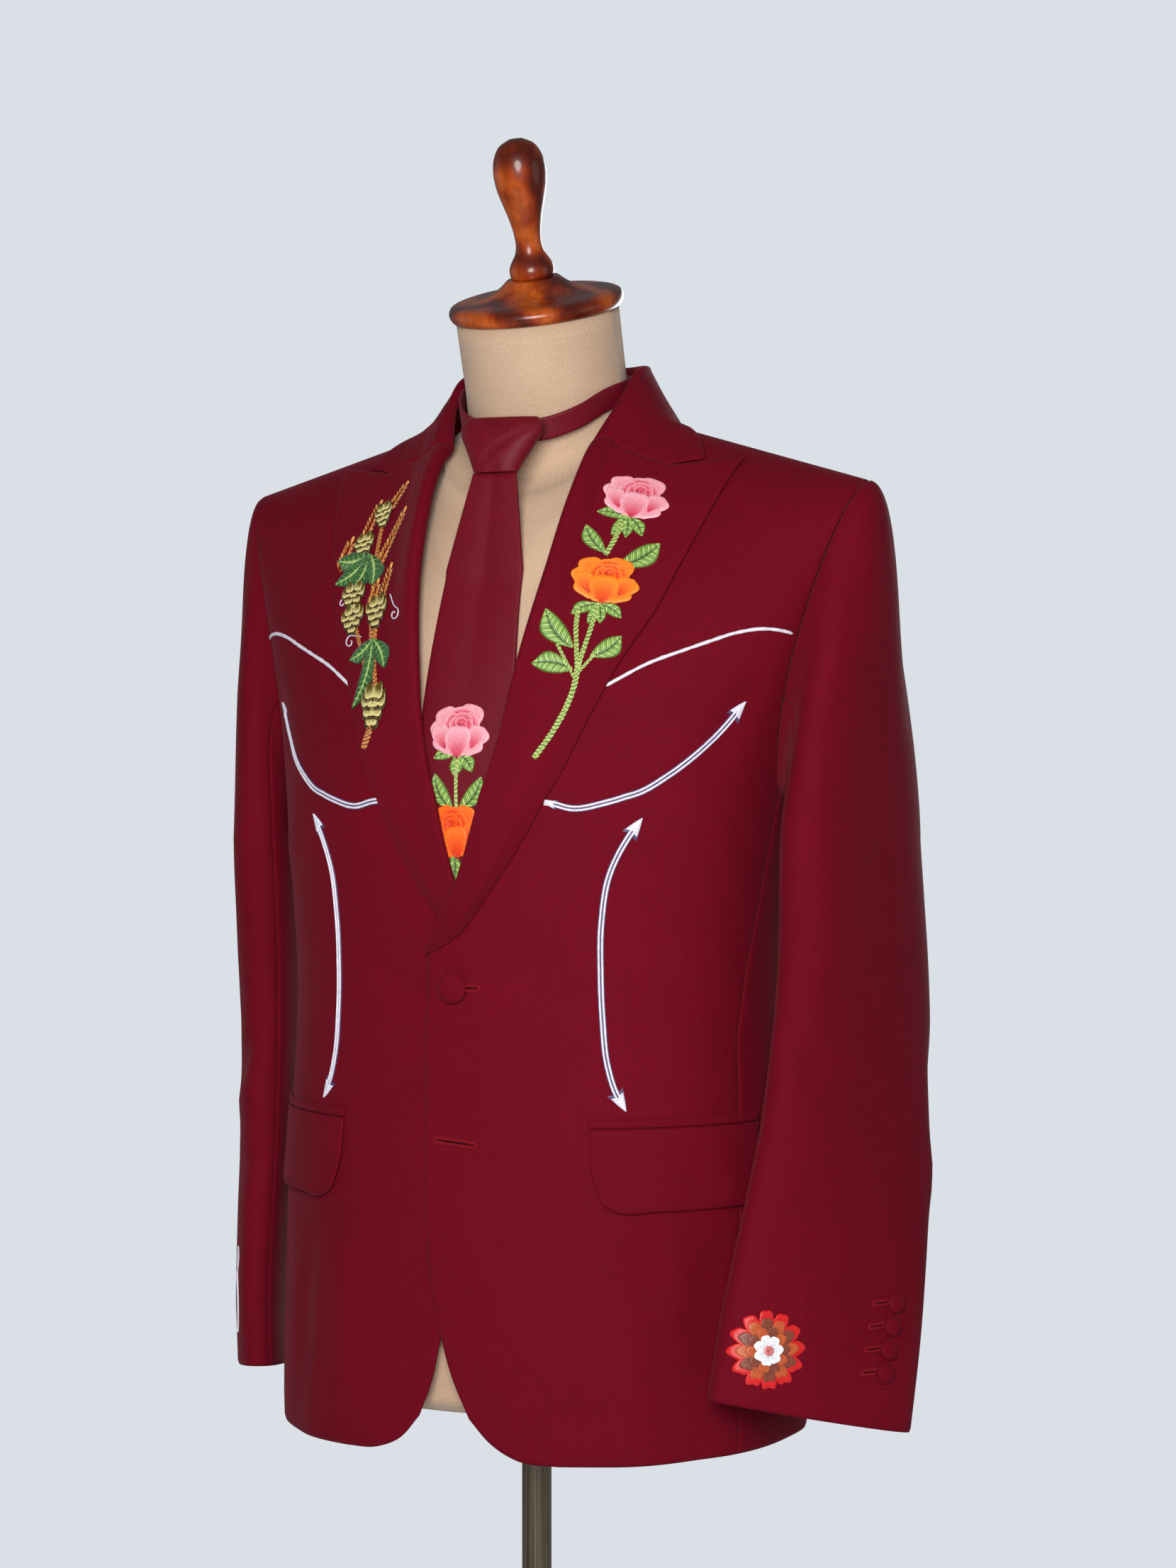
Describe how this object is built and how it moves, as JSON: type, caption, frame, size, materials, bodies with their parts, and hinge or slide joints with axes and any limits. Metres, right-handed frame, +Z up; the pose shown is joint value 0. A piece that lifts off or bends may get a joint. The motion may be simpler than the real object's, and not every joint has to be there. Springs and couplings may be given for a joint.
{
  "type": "western suit jacket with matching tie on a limbless dress form and stand",
  "caption": "Single-breasted suit jacket with peaked lapels, raised white arrow trim and matching tie, worn by a limbless dress form on a round-based pole stand.",
  "frame": {"origin": "centre of the stand's round underside, on the pole's axis", "axes": "+Z up, -Y to the front of the jacket, +X to its wearer's left"},
  "size_m": [0.546, 0.34, 1.7081],
  "materials": {
    "burgundy_suiting": "matt twill wool",
    "white_trim": "satin stitched cord",
    "cream_jersey": "matt cotton jersey",
    "varnished_wood": "gloss varnish",
    "brushed_steel": "satin brushed"
  },
  "bodies": {
    "root": {"back_left": "burgundy_suiting", "back_right": "burgundy_suiting", "base": "brushed_steel", "button_front": "burgundy_suiting", "collar": "burgundy_suiting", "cuff_button_left_1": "burgundy_suiting", "cuff_button_left_2": "burgundy_suiting", "cuff_button_left_3": "burgundy_suiting", "cuff_button_left_4": "burgundy_suiting", "cuff_button_right_1": "burgundy_suiting", "cuff_button_right_2": "burgundy_suiting", "cuff_button_right_3": "burgundy_suiting", "cuff_button_right_4": "burgundy_suiting", "flap_left": "burgundy_suiting", "flap_right": "burgundy_suiting", "form_torso": "cream_jersey", "front_left": "burgundy_suiting", "front_right": "burgundy_suiting", "jet_left": "burgundy_suiting", "jet_right": "burgundy_suiting", "lapel_left": "burgundy_suiting", "lapel_right": "burgundy_suiting", "long_arrow_left": "white_trim", "long_arrow_right": "white_trim", "neck_cap": "varnished_wood", "neck_knob": "varnished_wood", "pole": "brushed_steel", "side_left": "burgundy_suiting", "side_right": "burgundy_suiting", "sleeve_top_left": "burgundy_suiting", "sleeve_top_right": "burgundy_suiting", "sleeve_under_left": "burgundy_suiting", "sleeve_under_right": "burgundy_suiting", "smile_arrow_left": "white_trim", "smile_arrow_right": "white_trim", "tie_band": "burgundy_suiting", "tie_blade": "burgundy_suiting", "tie_knot": "burgundy_suiting", "yoke_line_left": "white_trim", "yoke_line_right": "white_trim"}
  },
  "joints": []
}
